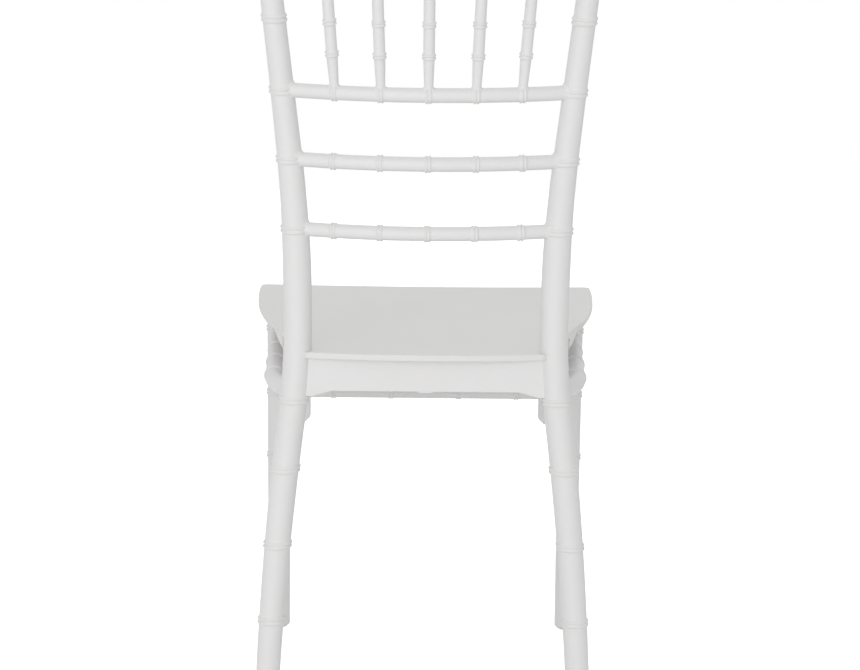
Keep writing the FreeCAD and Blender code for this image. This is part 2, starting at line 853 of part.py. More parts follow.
def side_tenons(clearance):
    """Thin core of the side stretcher that enters the leg in front and the post behind."""
    inside = leg_radius(side_stretcher_height) - stretcher_tenon_depth
    turn = 0
    if clearance:
        inside -= depth_clearance
        turn = math.degrees(depth_clearance / side_stretcher_bend_radius)
    return side_bar(stretcher_tenon_diameter + 2 * clearance, turn, inside)


def front_tenons(clearance):
    """Thin core of the front stretcher that enters both front legs."""
    centre = leg_centre(front_stretcher_height)
    reach = centre.x - leg_radius(front_stretcher_height) + stretcher_tenon_depth
    if clearance:
        reach += depth_clearance
    diameter = stretcher_tenon_diameter + 2 * clearance
    return rod(V(reach, leg_y, centre.z), V(-reach, leg_y, centre.z), diameter)


def front_stretcher(legs):
    """Straight round bar with four rings between the front legs."""
    centre = leg_centre(front_stretcher_height)
    bar = rod(centre, V(-centre.x, centre.y, centre.z), stretcher_diameter)
    places = [front_ring_outer, front_ring_inner, -front_ring_inner, -front_ring_outer]
    rings = [bar_ring(V(x, leg_y, centre.z), V(1, 0, 0), stretcher_diameter / 2) for x in places]
    bar = bar.fuse(rings)
    for leg in legs:
        bar = bar.cut(leg)
    return bar.fuse(front_tenons(0))


def bracket_tenon(clearance):
    """Stub that enters the front leg beside the bracket."""
    z = front_stretcher_height - bracket_drop + bracket_tenon_height / 2
    centre = leg_centre(z)
    deep = centre.x - leg_radius(z) + stub_tenon_depth
    if clearance:
        deep += depth_clearance
    start = centre.x - leg_radius(z) - stub_tenon_depth
    low = z - bracket_tenon_height / 2 - clearance
    high = z + bracket_tenon_height / 2 + clearance
    corners = [(start, low), (deep, low), (deep, high), (start, high)]
    return plate(corners, leg_y, stub_tenon_thickness + 2 * clearance)


def bracket(leg, bar):
    """Corner bracket under the front stretcher, coped to the stretcher and the leg."""
    x = leg_centre(front_stretcher_height).x
    top = front_stretcher_height
    edge = x - bracket_reach
    low = top - bracket_drop
    points = [(x, top), (edge, top), (edge, low)]
    points.append((edge + bracket_chamfer, low - bracket_chamfer))
    points.append((x, top - bracket_tip_drop))
    body = plate(points, leg_y, bracket_thickness).cut(leg).cut(bar)
    body = max(body.Solids, key=lambda piece: piece.Volume)
    return body.fuse(bracket_tenon(0))


def glide(centre):
    """Foot glide: a low button with a stem that is pressed into the foot."""
    button = Part.makeCylinder(glide_diameter / 2, glide_height, V(centre.x, centre.y, 0))
    button = button.makeChamfer(glide_edge, [button.Edges[2]])
    stem = Part.makeCylinder(glide_stem_diameter / 2, glide_stem_length, V(centre.x, centre.y, glide_height))
    return button.fuse(stem)


def export(name, shape):
    """Write one piece to its own file."""
    shape.exportStep(os.path.join("parts", name + ".step"))


def export_pair(name, left):
    """Write a left-hand piece and its mirror image."""
    export(name + "_left", left)
    export(name + "_right", mirrored(left))


def export_group(name, solids):
    """Write identical pieces as one group of separate solids."""
    export(name, Part.makeCompound(solids))


os.makedirs("parts", exist_ok=True)

# Where things meet: the back's bows, the seat frame's corners and the room above the frame
bows = [Bow(height, rail_diameter) for height in back_ring_heights[:back_rail_count]]
upper_bow = bows[-1]
crest_bow = Bow(crest_height, crest_diameter)
front_corner = Corner(leg_centre(block_top), leg_radius(block_top), side_direction())
rear_corner = Corner(post_centre(block_top), post_radius(block_top), side_direction() * -1)
corners = [front_corner, rear_corner]
above_frame = seat_layer(-seat_thickness, seat_notch_reach)
above_seat = seat_layer(0, 2 * seat_notch_reach)

# Blanks of the upright pieces, which the rails are coped to
left_post_blank = post_blank()
right_post_blank = mirrored(left_post_blank)
left_leg_blank = leg_blank().cut(above_frame)
right_leg_blank = mirrored(left_leg_blank)
posts = [left_post_blank, right_post_blank]
legs = [left_leg_blank, right_leg_blank]

# Rear posts with their sockets
post_rooms = [bow.tenon(1, fit_clearance) for bow in bows + [crest_bow]]
post_rooms.append(stub_tenon(rear_corner.centre, rear_corner.radius, rear_corner.along, fit_clearance))
rear_rail_shift = V(0, rear_seat_rail_offset, 0)
rear_rail_spot = rear_corner.centre + rear_rail_shift
post_rooms.append(stub_tenon(rear_rail_spot, rear_corner.radius, rear_corner.across, fit_clearance))
post_rooms += [side_tenons(fit_clearance), insert_room(rear_corner), glide_socket(post_centre(glide_height))]
export_pair("rear_post", left_post_blank.cut(post_rooms))

# Front legs with their sockets
leg_rooms = [stub_tenon(front_corner.centre, front_corner.radius, front_corner.across, fit_clearance)]
leg_rooms.append(stub_tenon(front_corner.centre, front_corner.radius, front_corner.along, fit_clearance))
leg_rooms += [side_tenons(fit_clearance), front_tenons(fit_clearance), bracket_tenon(fit_clearance)]
leg_rooms += [insert_room(front_corner), glide_socket(leg_centre(glide_height))]
export_pair("front_leg", left_leg_blank.cut(leg_rooms))

# Back rails and spindles
rail_places = both_sides(rail_ring_inner, rail_ring_outer)
foot_places = both_sides(spindle_foot_inner, spindle_foot_outer)
head_places = both_sides(spindle_head_inner, spindle_head_outer)
lower_rail = back_rail(bows[0], rail_places, posts)
middle_rail = back_rail(bows[1], rail_places, posts)
upper_rail = back_rail(upper_bow, foot_places, posts)
crest_rail = back_rail(crest_bow, head_places, posts)
pegs = [spindle_tenon(i, fit_clearance) for i in range(len(foot_places))]
export("lower_back_rail", lower_rail)
export("middle_back_rail", middle_rail)
export("upper_back_rail", upper_rail.cut(pegs))
export("crest_rail", crest_rail.cut(pegs))
for i in range(len(foot_places)):
    export("spindle_" + str(i + 1), spindle(i, [upper_rail, crest_rail]))

# Seat frame rails
rear_y = rear_corner.centre.y + rear_seat_rail_offset
rear_outline = end_rail_outline(rear_corner.centre.x, rear_corner.centre.x - rear_corner.radius, True)
rear_rail = plate(rear_outline, rear_y, seat_rail_thickness).cut(above_frame)
front_outline = end_rail_outline(front_corner.centre.x, front_corner.centre.x - front_corner.radius, False)
front_rail = plate(front_outline, leg_y, seat_rail_thickness).cut(above_frame)
for post in posts:
    rear_rail = rear_rail.cut(post)
for leg in legs:
    front_rail = front_rail.cut(leg)
rear_stub = stub_tenon(rear_rail_spot, rear_corner.radius, rear_corner.across, 0)
front_stub = stub_tenon(front_corner.centre, front_corner.radius, front_corner.across, 0)
rear_rail = rear_rail.fuse([rear_stub, mirrored(rear_stub)])
front_rail = front_rail.fuse([front_stub, mirrored(front_stub)])
side_rail = side_seat_rail_blank().cut(above_frame).cut(left_post_blank).cut(left_leg_blank)
side_stubs = [stub_tenon(corner.centre, corner.radius, corner.along, 0) for corner in corners]
side_rail = side_rail.cut(rear_rail).cut(front_rail).fuse(side_stubs)
export("rear_seat_rail", rear_rail)
export("front_seat_rail", front_rail)
export_pair("side_seat_rail", side_rail)

# Seat shell, corner blocks and their hardware
export("seat_shell", seat_shell())
export_pair("front_corner_block", corner_block(front_corner, [front_rail, side_rail]))
export_pair("rear_corner_block", corner_block(rear_corner, [rear_rail, side_rail]))
left_bolts = [frame_bolt(corner) for corner in corners]
left_washers = [washer(corner) for corner in corners]
left_inserts = [threaded_insert(corner) for corner in corners]
export_group("frame_bolts", left_bolts + [mirrored(bolt) for bolt in left_bolts])
export_group("bolt_washers", left_washers + [mirrored(piece) for piece in left_washers])
export_group("threaded_inserts", left_inserts + [mirrored(piece) for piece in left_inserts])
export_group("seat_screws", [seat_screw(spot) for corner in corners for spot in screw_spots(corner)])

# Stretchers and brackets
front_bar = front_stretcher(legs)
side_stretcher = side_bar(side_stretcher_diameter, 0, 0).fuse(side_rings())
side_stretcher = side_stretcher.cut(left_leg_blank).cut(left_post_blank)
side_stretcher = max(side_stretcher.Solids, key=lambda piece: piece.Volume).fuse(side_tenons(0))
export("front_stretcher", front_bar)
export_pair("side_stretcher", side_stretcher)
export_pair("front_bracket", bracket(left_leg_blank, front_bar))

# Foot glides
export_pair("front_glide", glide(leg_centre(glide_height)))
export_pair("rear_glide", glide(post_centre(glide_height)))
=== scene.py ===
import bmesh
import bpy
import math
from mathutils import Matrix, Vector


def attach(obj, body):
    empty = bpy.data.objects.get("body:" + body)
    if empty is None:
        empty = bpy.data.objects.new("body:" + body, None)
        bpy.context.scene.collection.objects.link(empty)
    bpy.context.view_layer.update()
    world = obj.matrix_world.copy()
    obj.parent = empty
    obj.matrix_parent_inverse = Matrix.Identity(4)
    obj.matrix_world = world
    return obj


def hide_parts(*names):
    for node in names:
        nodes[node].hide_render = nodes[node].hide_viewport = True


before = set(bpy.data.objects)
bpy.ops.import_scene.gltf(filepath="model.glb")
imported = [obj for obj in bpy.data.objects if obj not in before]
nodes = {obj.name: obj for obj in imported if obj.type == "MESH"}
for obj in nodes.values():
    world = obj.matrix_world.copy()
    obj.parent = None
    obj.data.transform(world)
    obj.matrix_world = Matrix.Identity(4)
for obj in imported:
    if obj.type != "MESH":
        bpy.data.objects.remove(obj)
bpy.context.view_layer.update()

# Rear posts. Each is one white resin moulding that runs from the floor to the top of the back,
# splayed, tapered both ways from its thick waist at the seat, and ringed like bamboo.
# The rings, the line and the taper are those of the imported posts.
total_height = 0.9
seat_height = 0.46
post_spread_foot = 0.1738
post_spread_seat = 0.1365
post_spread_top = 0.1649
post_size_foot = 0.0247
post_size_seat = 0.03
post_size_top = 0.0227
post_seat_y = 0.15297
post_bend_height = 0.45
post_foot_reach = 0.03
post_top_reach = 0.06
foot_splay_from = 0.48
foot_splay_knee = 0.19
foot_splay_peak = 1.7
top_splay_from = 0.512
top_splay_knee = 0.4
top_splay_peak = 1.25
foot_taper_from = 0.396
foot_taper_knee = 0.3
foot_taper_peak = 1 / 0.85
top_taper_from = 0.53
top_taper_knee = 0.1
top_taper_peak = 2.0
foot_gap = 0.0025
foot_rounding = 0.0015
foot_steps = 4
dome_sections = 9
dome_step = math.radians(9.6)
bar_sides = 64
bar_start_height = 0.02
post_step = 0.012
upward = Vector((0, 0, 1))
leg_ring_heights = [0.154, 0.2385, 0.323, 0.4075]
back_ring_heights = [0.584, 0.65745, 0.7285, 0.80045, 0.87]
post_ring_heights = leg_ring_heights[:3] + [0.3994] + back_ring_heights
upright_ring = [(0.0, 0.0005), (0.0004, 0.0006), (0.0008, 0.0009), (0.0013, 0.00135), (0.0018, 0.00157),
                (0.0023, 0.0016), (0.0028, 0.00148), (0.0033, 0.00115), (0.0038, 0.0006), (0.0042, 0.00025),
                (0.0048, 0.00006), (0.0056, 0.0)]


def eased(share, knee, peak):
    """A change along a post that starts flat and is steepest at its knee."""
    if share < knee:
        return peak * share * share / (2 * knee)
    past = share - knee
    drop = 2 * (peak * (1 - knee / 2) - 1) / (1 - knee) ** 2
    return peak * knee / 2 + peak * past - drop * past * past / 2


def post_line(z):
    """Middle of the left post at a height."""
    x = post_spread_seat
    if z < foot_splay_from:
        share = (foot_splay_from - z) / foot_splay_from
        x += (post_spread_foot - post_spread_seat) * eased(share, foot_splay_knee, foot_splay_peak)
    elif z > top_splay_from:
        share = (z - top_splay_from) / (total_height - top_splay_from)
        x += (post_spread_top - post_spread_seat) * eased(share, top_splay_knee, top_splay_peak)
    away = z - post_bend_height
    reach = post_top_reach if away > 0 else post_foot_reach
    length = total_height - post_bend_height if away > 0 else post_bend_height
    return Vector((x, post_seat_y + reach * (away / length) ** 2, z))


def post_radius(z):
    """Radius of the post at a height, without its rings."""
    size = post_size_seat
    if z < foot_taper_from:
        share = (foot_taper_from - z) / foot_taper_from
        size += (post_size_foot - post_size_seat) * eased(share, foot_taper_knee, foot_taper_peak)
    elif z > top_taper_from:
        share = (z - top_taper_from) / (total_height - top_taper_from)
        size += (post_size_top - post_size_seat) * eased(share, top_taper_knee, top_taper_peak)
    return size / 2


def post_axis(z):
    """Direction square to the rings, which stay level from side to side."""
    rise = post_line(z + 0.001) - post_line(z - 0.001)
    return Vector((0, rise.y, rise.z)).normalized()


def marks_along(start, end, spacing, rings, half_ring):
    """Where a bar's section is drawn: at even steps, and closely over each ring."""
    count = max(2, round((end - start) / spacing))
    even = [start + (end - start) * i / count for i in range(count + 1)]
    span = half_ring[-1][0] + 0.001
    clear = [(place, 0.0) for place in even if all(abs(place - ring) > span for ring in rings)]
    whole = [(-away, proud) for away, proud in half_ring[1:]] + half_ring
    beads = [(ring + away, proud) for ring in rings for away, proud in whole]
    return sorted(clear + beads)


def section_place(centre, axis, radius, level):
    """Places a unit circle square to a bar, with its first point towards level."""
    side = (level - axis * level.dot(axis)).normalized()
    turn = Matrix((side, axis.cross(side), axis)).transposed().to_4x4()
    return Matrix.Translation(centre) @ turn @ Matrix.Diagonal((radius, radius, radius, 1))


def grow(mesh, edges):
    """Extrudes an open loop and returns the new loop's edges and points."""
    made = bmesh.ops.extrude_edge_only(mesh, edges=edges)["geom"]
    points = [part for part in made if isinstance(part, bmesh.types.BMVert)]
    fresh = set(points)
    lines = [part for part in made if isinstance(part, bmesh.types.BMEdge)]
    return [line for line in lines if line.verts[0] in fresh and line.verts[1] in fresh], points


def draw_bar(mesh, sections, level):
    """Draws a round section along a bar, and returns the loops at its two open ends."""
    place = section_place(*sections[0], level)
    points = bmesh.ops.create_circle(mesh, segments=bar_sides, radius=1.0, matrix=place)["verts"]
    first = list({edge for point in points for edge in point.link_edges})
    last = first
    for section in sections[1:]:
        following = section_place(*section, level)
        last, points = grow(mesh, last)
        bmesh.ops.transform(mesh, matrix=following @ place.inverted(), verts=points)
        place = following
    return first, last


def parting_marks(mesh, middle, across):
    """Notes how far each point lies from the plane where the two halves of the mould met."""
    layer = mesh.verts.layers.float.get("parting") or mesh.verts.layers.float.new("parting")
    for point in mesh.verts:
        point[layer] = (point.co - middle(point.co)).dot(across)


def place_piece(name, mesh, material, replaced):
    """Puts a finished mesh on the chair as a smooth piece with its material."""
    data = bpy.data.meshes.new(name)
    mesh.to_mesh(data)
    mesh.free()
    for face in data.polygons:
        face.use_smooth = True
    piece = bpy.data.objects.new(name, data)
    bpy.context.scene.collection.objects.link(piece)
    data.materials.append(material)
    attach(piece, "root")
    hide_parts(*replaced)
    return piece


def make_piece(name, mesh, material, replaced):
    """Closes a mesh's ends, turns its faces outwards and puts it on the chair."""
    bmesh.ops.holes_fill(mesh, edges=[edge for edge in mesh.edges if edge.is_boundary], sides=0)
    bmesh.ops.recalc_face_normals(mesh, faces=mesh.faces)
    return place_piece(name, mesh, material, replaced)


def mirror_mesh(mesh):
    """Turns a left-hand mesh into the right-hand one."""
    bmesh.ops.scale(mesh, vec=(-1, 1, 1), verts=mesh.verts)
    bmesh.ops.reverse_faces(mesh, faces=mesh.faces)


def resin(name, tone, rough, parted):
    """White moulded resin: faint cloudiness, a fine satin grain, and the line where the mould parted."""
    finish = bpy.data.materials.new(name)
    finish.use_nodes = True
    tree = finish.node_tree
    shader = tree.nodes["Principled BSDF"]
    shader.inputs["IOR"].default_value = 1.49
    shader.inputs["Specular IOR Level"].default_value = 0.4
    where = tree.nodes.new("ShaderNodeTexCoord")

    def noise(scale, detail):
        made = tree.nodes.new("ShaderNodeTexNoise")
        made.inputs["Scale"].default_value = scale
        made.inputs["Detail"].default_value = detail
        tree.links.new(where.outputs["Object"], made.inputs["Vector"])
        return made.outputs["Fac"]

    cloud = tree.nodes.new("ShaderNodeMix")
    cloud.data_type = "RGBA"
    cloud.inputs[6].default_value = (tone[0] * 0.975, tone[1] * 0.975, tone[2] * 0.97, 1)
    cloud.inputs[7].default_value = (tone[0] * 1.015, tone[1] * 1.015, tone[2] * 1.015, 1)
    tree.links.new(noise(7, 4), cloud.inputs[0])
    tree.links.new(cloud.outputs[2], shader.inputs["Base Color"])
    patchy = tree.nodes.new("ShaderNodeMapRange")
    patchy.inputs["To Min"].default_value = rough - 0.06
    patchy.inputs["To Max"].default_value = rough + 0.06
    tree.links.new(noise(45, 5), patchy.inputs["Value"])
    tree.links.new(patchy.outputs["Result"], shader.inputs["Roughness"])

    grain = tree.nodes.new("ShaderNodeBump")
    grain.inputs["Strength"].default_value = 0.5
    grain.inputs["Distance"].default_value = 0.00004
    tree.links.new(noise(1400, 2), grain.inputs["Height"])
    ripple = tree.nodes.new("ShaderNodeBump")
    ripple.inputs["Strength"].default_value = 0.6
    ripple.inputs["Distance"].default_value = 0.0002
    tree.links.new(noise(55, 2), ripple.inputs["Height"])
    tree.links.new(ripple.outputs["Normal"], grain.inputs["Normal"])
    if parted:
        parting = tree.nodes.new("ShaderNodeAttribute")
        parting.attribute_name = "parting"
        away = tree.nodes.new("ShaderNodeMath")
        away.operation = "ABSOLUTE"
        tree.links.new(parting.outputs["Fac"], away.inputs[0])
        line = tree.nodes.new("ShaderNodeMapRange")
        line.interpolation_type = "SMOOTHSTEP"
        line.inputs["From Min"].default_value = 0.00015
        line.inputs["From Max"].default_value = 0.0006
        line.inputs["To Min"].default_value = 1.0
        line.inputs["To Max"].default_value = 0.0
        tree.links.new(away.outputs[0], line.inputs["Value"])
        ridge = tree.nodes.new("ShaderNodeBump")
        ridge.inputs["Strength"].default_value = 1.0
        ridge.inputs["Distance"].default_value = 0.00012
        tree.links.new(line.outputs["Result"], ridge.inputs["Height"])
        tree.links.new(ridge.outputs["Normal"], ripple.inputs["Normal"])
    tree.links.new(grain.outputs["Normal"], shader.inputs["Normal"])
    return finish


frame_tone = (0.765, 0.758, 0.758)
frame_resin = resin("frame_resin", frame_tone, 0.5, True)


def rounded_foot(line, radius):
    """Sections of an upright's rounded foot, from its flat underside up."""
    sections = []
    for i in range(foot_steps + 1):
        turn = math.pi / 2 * i / foot_steps
        z = foot_gap + foot_rounding * (1 - math.cos(turn))
        sections.append((line(z), upward, radius(z) - foot_rounding * (1 - math.sin(turn))))
    return sections


def post_sections():
    """Sections of a post: a rounded foot, the ringed length and the domed top."""
    crown = total_height - post_size_top / 2
    sections = rounded_foot(post_line, lambda z: post_radius(foot_gap))
    for z, proud in marks_along(bar_start_height, crown, post_step, post_ring_heights, upright_ring):
        sections.append((post_line(z), post_axis(z), post_radius(z) + proud))
    top, axis, radius = post_line(crown), post_axis(crown), post_radius(crown)
    for i in range(1, dome_sections + 1):
        turn = dome_step * i
        sections.append((top + axis * radius * math.sin(turn), axis, radius * math.cos(turn)))
    return sections


for side in ("left", "right"):
    post = bmesh.new()
    draw_bar(post, post_sections(), Vector((1, 0, 0)))
    parting_marks(post, lambda co: post_line(co.z), Vector((0, 1, 0)))
    if side == "right":
        mirror_mesh(post)
    make_piece("post_" + side, post, frame_resin, ["rear_post_" + side])

# Front legs. Round resin bars with four rings each, almost upright, whose tops are cut to the
# seat's underside and hidden by it. They are moulded like the posts, in the same white resin.
leg_y = -0.20803
leg_spread_foot = 0.1926
leg_spread_top = 0.1894
leg_size_foot = 0.0284
leg_size_top = 0.0306
leg_step = 0.02
leg_top_drop = 0.009
seat_front_y = -0.23803
seat_depth = 0.416
seat_fall = 0.007
seat_dish = 0.009
seat_dish_lead = 0.07
seat_thickness = 0.006
seat_slab_margin = 0.006
seat_side_start = (0.2139, 0.009)
seat_side_mid = (0.2022, 0.145)
seat_side_end = (0.1816, 0.236)
seat_flare_mid = (0.161, 0.295)
seat_rear_corner = (0.146, 0.382)


def through(places, spot):
    """Value at a spot on the parabola through three (value, spot) places."""
    return sum(value * math.prod((spot - other) / (own - other) for _, other in places if other != own)
               for value, own in places)


def seat_half_width(y):
    """Half the seat's width at a depth: bowed in front, then flared in towards the rear corner."""
    setback = y - seat_front_y
    if setback > seat_side_end[1]:
        return through((seat_side_end, seat_flare_mid, seat_rear_corner), setback)
    return through((seat_side_start, seat_side_mid, seat_side_end), setback)


def seat_surface(x, y):
    """Height of the seat's top at a place: it falls to the rear and is dished in the middle."""
    share = (y - seat_front_y) / seat_depth
    whole = min(max((share + seat_dish_lead) / (1 + seat_dish_lead), 0), 1)
    across = 1 - (x / (seat_half_width(y) + seat_slab_margin)) ** 2
    return seat_height - seat_fall * share - seat_dish * math.sin(math.pi * whole) * across


def cut_under_seat(mesh):
    """Lowers whatever stands above the middle of the seat's thickness to it."""
    for point in mesh.verts:
        point.co.z = min(point.co.z, seat_surface(point.co.x, point.co.y) - seat_thickness / 2)


def leg_line(z):
    """Middle of the left front leg at a height."""
    return Vector((leg_spread_foot + (leg_spread_top - leg_spread_foot) * z / seat_height, leg_y, z))


def leg_radius(z):
    """Radius of the front leg at a height, without its rings."""
    return (leg_size_foot + (leg_size_top - leg_size_foot) * z / seat_height) / 2


for side in ("left", "right"):
    leg = bmesh.new()
    sections = rounded_foot(leg_line, leg_radius)
    leg_top = seat_height - leg_top_drop
    for z, proud in marks_along(bar_start_height, leg_top, leg_step, leg_ring_heights, upright_ring):
        sections.append((leg_line(z), upward, leg_radius(z) + proud))
    draw_bar(leg, sections, Vector((1, 0, 0)))
    cut_under_seat(leg)
    parting_marks(leg, lambda co: leg_line(co.z), Vector((0, 1, 0)))
    if side == "right":
        mirror_mesh(leg)
    make_piece("leg_" + side, leg, frame_resin, ["front_leg_" + side])

# Back rails and the crest rail. Slim round rails with five rings, bowed to the rear between the
# posts and flared where they run into them. The top one, the crest, is a little thicker.
rail_size = 0.0149
crest_size = 0.0168
rail_bow = 0.023
rail_root_gap = 0.0035
bar_step = 0.006
rail_ring_places = [0.097, 0.049, 0.0, -0.049, -0.097]
foot_places = [0.0949, 0.0481, 0.0, -0.0481, -0.0949]
head_places = [0.1038, 0.0526, 0.0, -0.0526, -0.1038]
bar_ring = [(0.0, 0.0004), (0.0003, 0.0005), (0.0006, 0.00078), (0.001, 0.00118), (0.0014, 0.00137),
            (0.0018, 0.0014), (0.0022, 0.00128), (0.0026, 0.00098), (0.003, 0.0005), (0.0033, 0.0002),
            (0.0038, 0.00005), (0.0045, 0.0)]
root_shape = [(0.0022, 0.0), (0.00135, 0.00022), (0.0007, 0.00065), (0.00025, 0.0013), (0.0, 0.0022),
              (-0.0015, 0.0024)]


def bow_line(height):
    """Where a bowed rail runs: its place and direction at a distance from the middle."""
    end = post_line(height)
    axis = post_axis(height)
    out = Vector((0, axis.z, -axis.y))
    radius = (end.x ** 2 + rail_bow ** 2) / (2 * rail_bow)
    middle = Vector((0, end.y, end.z)) + out * (rail_bow - radius)

    def at(x):
        depth = math.sqrt(radius ** 2 - x ** 2)
        place = middle + Vector((x, 0, 0)) + out * depth
        return place, (Vector((depth, 0, 0)) - out * x).normalized()

    return at


def reach(point, along, centre, axis, radius):
    """How far a point travels along a line before it meets a round bar."""
    start = point - centre
    start -= axis * start.dot(axis)
    step = along - axis * along.dot(axis)
    a, b, c = step.dot(step), start.dot(step), start.dot(start) - radius * radius
    return (-b - math.sqrt(max(b * b - a * c, 0.0))) / a


def root_into(mesh, edges, centre, along, meets):
    """Flares a bar's open end onto the bar that it runs into, and a little way inside."""
    spokes = {}
    points = {point for edge in edges for point in edge.verts}
    for point in points:
        spoke = point.co - centre
        spokes[point] = (spoke - along * spoke.dot(along)).normalized()
    radius = sum((point.co - centre).length for point in points) / len(points)
    for gap, swell in root_shape:
        before = {point: spokes[point] for point in points}
        edges, points = grow(mesh, edges)
        after = {}
        for point in points:
            near = min(before, key=lambda other: (other.co - point.co).length_squared)
            after[point] = before[near]
            point.co = centre + before[near] * (radius + swell)
            point.co += along * (reach(point.co, along, *meets) - gap)
        spokes = after


def back_rail(name, height, size, places, node):
    """Makes one bowed rail between the posts."""
    line = bow_line(height)
    shoulder = post_line(height).x - post_radius(height) - rail_root_gap
    marks = marks_along(-shoulder, shoulder, bar_step, places, bar_ring)
    sections = [(*line(x), size / 2 + proud) for x, proud in marks]
    rail = bmesh.new()
    first, last = draw_bar(rail, sections, upward)
    for edges, hand in ((first, -1), (last, 1)):
        centre, along = line(hand * shoulder)
        post = post_line(height)
        post.x *= hand
        root_into(rail, edges, centre, along * hand, (post, post_axis(height), post_radius(height)))
    parting_marks(rail, lambda co: line(co.x)[0], Vector((0, 1, 0)))
    make_piece(name, rail, frame_resin, [node])


back_rail("back_rail_low", back_ring_heights[0], rail_size, rail_ring_places, "lower_back_rail")
back_rail("back_rail_mid", back_ring_heights[1], rail_size, rail_ring_places, "middle_back_rail")
back_rail("back_rail_top", back_ring_heights[2], rail_size, foot_places, "upper_back_rail")
back_rail("crest", back_ring_heights[4], crest_size, head_places, "crest_rail")

# Spindles. Five slender turned bars fan out from the upper back rail to the crest rail. Each is
# thickest between its outer two rings, has a third ring in the middle, and flares at both ends.
spindle_end_size = 0.0087
spindle_size = 0.0116
spindle_ring_pitch = 0.032
spindle_root_gap = 0.003

for number, (foot_x, head_x) in enumerate(zip(foot_places, head_places), start=1):
    foot, foot_way = bow_line(back_ring_heights[2])(foot_x)
    head, head_way = bow_line(back_ring_heights[4])(head_x)
    length = (head - foot).length
    along = (head - foot) / length
    rings = [length / 2 + spindle_ring_pitch * i for i in (-1, 0, 1)]
    low = rail_size / 2 + spindle_root_gap
    high = length - crest_size / 2 - spindle_root_gap
    sections = []
    for away, proud in marks_along(low, high, bar_step, rings, bar_ring):
        taper = min(away / rings[0], (length - away) / (length - rings[2]), 1.0)
        size = spindle_end_size + (spindle_size - spindle_end_size) * taper
        sections.append((foot + along * away, along, size / 2 + proud))
    spindle = bmesh.new()
    first, last = draw_bar(spindle, sections, Vector((1, 0, 0)))
    root_into(spindle, first, foot + along * low, -along, (foot, foot_way, rail_size / 2))
    root_into(spindle, last, foot + along * high, along, (head, head_way, crest_size / 2))
    parting_marks(spindle, lambda co: foot + along * (co - foot).dot(along), Vector((0, 1, 0)))
    make_piece(f"spindle_piece_{number}", spindle, frame_resin, [f"spindle_{number}"])

# Seat frame rails. Flat resin rails on edge under the seat, between the legs and posts: the rear
# one shows as the apron, with deeper ends and a small tab in the middle of its lower edge.
rail_thickness = 0.012
side_rail_bottom = 0.421
end_rail_bottom = 0.41
end_rail_bottom_ends = 0.404
end_rail_ramp = 0.021
tab_half_width = 0.007
tab_drop = 0.0015
end_rail_cuts = 7
side_rail_cuts = 23
end_rail_embed = 0.004
side_rail_embed = 0.008
rear_rail_offset = 0.002


def soften(piece, width, segments):
    """Rounds a flat-sided piece's edges as the mould does."""
    edge = piece.modifiers.new("moulded_edge", "BEVEL")
    edge.width = width
    edge.segments = segments
    edge.limit_method = "ANGLE"
    edge.angle_limit = math.radians(35)
    edge.harden_normals = True


def thicken(mesh, way):
    """Pulls a flat mesh's faces out along a way."""
    made = bmesh.ops.extrude_face_region(mesh, geom=list(mesh.faces))["geom"]
    moved = [part for part in made if isinstance(part, bmesh.types.BMVert)]
    bmesh.ops.translate(mesh, vec=way, verts=moved)


def end_rail(name, y, x_out, x_in, tab, node):
    """A front or rear rail, drawn as half its lower edge, mirrored, and pulled out to its thickness."""
    ramp_end = x_in - end_rail_ramp
    below = [(x_out, end_rail_bottom_ends), (x_in, end_rail_bottom_ends), (ramp_end, end_rail_bottom)]
    if tab:
        below += [(tab_half_width + tab_drop, end_rail_bottom), (tab_half_width, end_rail_bottom - tab_drop)]
    rail = bmesh.new()
    left = [rail.verts.new((x, y - rail_thickness / 2, z)) for x, z in below]
    right = [rail.verts.new((-x, y - rail_thickness / 2, z)) for x, z in reversed(below)]
    chain = left + right
    edges = [rail.edges.new(pair) for pair in zip(chain, chain[1:])]
    bmesh.ops.subdivide_edges(rail, edges=edges, cuts=end_rail_cuts)
    _, points = grow(rail, list(rail.edges))
    for point in points:
        point.co.z = seat_height
    thicken(rail, (0, rail_thickness, 0))
    cut_under_seat(rail)
    parting_marks(rail, lambda co: Vector((co.x, y, co.z)), Vector((0, 0.3, 0)))
    piece = make_piece(name, rail, frame_resin, [node])
    soften(piece, 0.0012, 3)


end_rail("apron_rear", post_seat_y + rear_rail_offset, post_spread_seat - end_rail_embed,
         post_spread_seat - post_size_seat / 2, True, "rear_seat_rail")
end_rail("apron_front", leg_y, leg_spread_top - end_rail_embed,
         leg_spread_top - leg_size_top / 2, False, "front_seat_rail")

for side in ("left", "right"):
    start = leg_line(side_rail_bottom)
    end = post_line(side_rail_bottom)
    way = Vector((end.x - start.x, end.y - start.y, 0)).normalized()
    square = Vector((-way.y, way.x, 0)) * (rail_thickness / 2)
    rail = bmesh.new()
    inset = way * side_rail_embed
    chain = [rail.verts.new(start + inset - square), rail.verts.new(end - inset - square)]
    bmesh.ops.subdivide_edges(rail, edges=[rail.edges.new(chain)], cuts=side_rail_cuts)
    _, points = grow(rail, list(rail.edges))
    bmesh.ops.translate(rail, vec=(0, 0, seat_height - side_rail_bottom), verts=points)
    thicken(rail, square * 2)
    cut_under_seat(rail)
    parting_marks(rail, lambda co: co + Vector((0, 0, 0.01)), Vector((0, 0, 1)))
    if side == "right":
        mirror_mesh(rail)
    piece = make_piece("side_rail_" + side, rail, frame_resin, ["side_seat_rail_" + side])
    soften(piece, 0.0012, 3)

